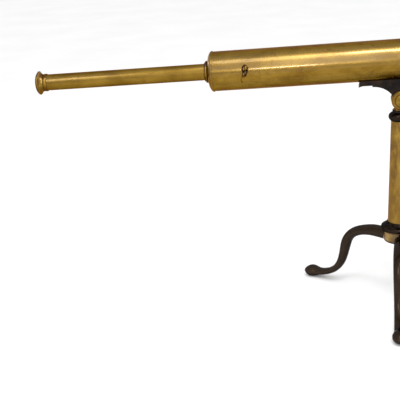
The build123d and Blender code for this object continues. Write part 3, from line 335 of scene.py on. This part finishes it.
finishes = {
    "barrel_brass": brass(
        "barrel_brass", 1.0, ALONG_TUBE, tilt=PITCH, stained=0.55, rough=(0.22, 0.32),
        recess=0.001, underside=SHADE_PAINTED_BELOW, gloss=0.8, relief=0.10,
    ),
    "draw_brass": brass(
        "draw_brass", 0.95, ALONG_TUBE, tilt=PITCH, stained=0.6, rough=(0.26, 0.36),
        underside=SHADE_PAINTED_BELOW, gloss=0.4, relief=0.12,
    ),
    "fitting_brass": brass(
        "fitting_brass", 1.1, EVEN, tilt=PITCH, stained=1.1, recess=0.0025,
        underside=SHADE_PAINTED_ABOVE_AND_BELOW, gloss=0.5, eye_end=SHADE_PAINTED_TOWARDS_EYE,
    ),
    "joint_brass": brass("joint_brass", 1.08, EVEN, stained=1.4, recess=0.006, gloss=0.2),
    "column_brass": brass(
        "column_brass", 1.36, UP_COLUMN, stained=1.7, recess=0.006, gloss=0.3, streaks=(1, 1, 0.45),
    ),
    "hub_brass": brass("hub_brass", 1.4, EVEN, stained=1.7, recess=0.004, gloss=0.9, browned_at=LEG_ROOTS),
    "blackened_brass": blackened("blackened_brass"),
    "leg_bronze": bronze_casting("leg_bronze"),
    "black_lacquer": black_lacquer("black_lacquer"),
    "steel": steel("steel", (0.52, 0.51, 0.49), (0.30, 0.29, 0.28), 0.28),
    "dark_steel": steel("dark_steel", (0.10, 0.095, 0.09), (0.04, 0.038, 0.036), 0.34),
    "lining": cloth_lining("lining"),
    "glass": lens_glass("glass"),
}


def dress_cad_nodes():
    """Gives each carried-over CAD node the finish its record names."""
    slots = {row["node"]: row["material_slot"] for row in frame["record"]["subparts"]}
    for node, body in frame["nodes"].items():
        body.data.materials.clear()
        body.data.materials.append(finishes[slots[node]])


dress_cad_nodes()


# ------------------------------------------------------------------ studio
FLOOR_REACH = 30.0


def studio_floor():
    """A pale, slightly uneven floor."""
    g = Graph("studio_floor")
    mottle = g.noise(g.stretched((1, 1, 1)), 3, 4, 0.5)
    g.link(g.ramp(mottle, [(0.3, 0.86), (0.7, 0.90)]), g.shader.inputs["Base Color"])
    g.set(Roughness=0.9, Specular_IOR_Level=0.1)
    mesh = bpy.data.meshes.new("studio_floor")
    corners = [(x * FLOOR_REACH, y * FLOOR_REACH, 0) for x, y in ((-1, -1), (1, -1), (1, 1), (-1, 1))]
    mesh.from_pydata(corners, [], [(0, 1, 2, 3)])
    floor = bpy.data.objects.new("studio_floor", mesh)
    mesh.materials.append(g.material)
    bpy.context.scene.collection.objects.link(floor)


def aim(thing, place, target):
    thing.location = place
    thing.rotation_euler = (Vector(target) - Vector(place)).to_track_quat("-Z", "Y").to_euler()


def softbox(name, place, target, width, height, power, mirrored=True):
    """Rectangular lamp; one that isn't mirrored gives light but makes no highlight."""
    lamp = bpy.data.lights.new(name, "AREA")
    lamp.shape = "RECTANGLE"
    lamp.size = width
    lamp.size_y = height
    lamp.energy = power
    holder = bpy.data.objects.new(name, lamp)
    bpy.context.scene.collection.objects.link(holder)
    aim(holder, place, target)
    holder.visible_glossy = mirrored
    return holder


def studio_lights():
    middle = AXIS_POINT
    softbox("front_high_softbox", (0.25, -0.97, 2.55), middle, 2.1, 0.75, 18)
    softbox("front_lamp", (-0.03, -1.04, 2.52), middle, 0.26, 0.36, 4.6)
    softbox("front_wall", (0.0, -3.0, 2.37), (0.0, 0.0, 0.9), 1.8, 3.3, 14)
    softbox("front_window", (-0.25, -2.9, 2.37), (-0.25, 0.0, 0.9), 0.6, 3.3, 9)
    softbox("front_strip", (-0.40, -2.6, 0.88), middle, 0.30, 0.12, 4.4)
    softbox("left_window", (-1.5, -2.0, 2.0), middle, 0.5, 1.2, 11)
    sun = bpy.data.lights.new("ceiling_light", "SUN")
    sun.energy = 0.35
    sun.angle = math.radians(90)
    holder = bpy.data.objects.new("ceiling_light", sun)
    bpy.context.scene.collection.objects.link(holder)
    aim(holder, (-0.3, -0.4, 4.0), (0, 0, 0))
    holder.visible_glossy = False


def studio_world():
    """Nearly even white all round, a touch less bright overhead."""
    world = bpy.data.worlds.new("studio_world")
    bpy.context.scene.world = world
    world.use_nodes = True
    tree = world.node_tree
    tree.nodes.clear()
    out = tree.nodes.new("ShaderNodeOutputWorld")
    back = tree.nodes.new("ShaderNodeBackground")
    coords = tree.nodes.new("ShaderNodeTexCoord")
    split = tree.nodes.new("ShaderNodeSeparateXYZ")
    ramp = tree.nodes.new("ShaderNodeValToRGB")
    tree.links.new(coords.outputs["Generated"], split.inputs["Vector"])
    tree.links.new(split.outputs["Z"], ramp.inputs["Fac"])
    tree.links.new(ramp.outputs["Color"], back.inputs["Color"])
    tree.links.new(back.outputs["Background"], out.inputs["Surface"])
    stops = [(0.0, 1.0), (0.12, 1.0), (0.45, 0.96), (1.0, 0.96)]
    band = ramp.color_ramp
    while len(band.elements) < len(stops):
        band.elements.new(0.5)
    for element, (place, grey) in zip(band.elements, stops):
        element.position = place
        element.color = (grey, grey, grey, 1)


CAMERA_PLACE = (-0.100, -1.8909, 0.7885)
CAMERA_TURNS = (-8.89, -16.82, -3.79)


def studio_camera():
    """Seen from the near side, a little above and to the left, rolled slightly."""
    azimuth, elevation, roll = (math.radians(degrees) for degrees in CAMERA_TURNS)
    look = Vector((
        math.sin(azimuth) * math.cos(elevation),
        math.cos(azimuth) * math.cos(elevation),
        math.sin(elevation),
    ))
    level = look.cross(Vector((0, 0, 1))).normalized()
    above = level.cross(look)
    right = level * math.cos(roll) + above * math.sin(roll)
    up = above * math.cos(roll) - level * math.sin(roll)
    lens = bpy.data.cameras.new("studio_camera")
    lens.lens = 90
    lens.sensor_width = 36
    lens.clip_end = 100
    camera = bpy.data.objects.new("studio_camera", lens)
    bpy.context.scene.collection.objects.link(camera)
    turned = Matrix((right, up, -look)).transposed().to_4x4()
    camera.matrix_world = Matrix.Translation(CAMERA_PLACE) @ turned
    bpy.context.scene.camera = camera


studio_floor()
studio_lights()
studio_world()
studio_camera()
bpy.context.scene.view_settings.view_transform = "Standard"
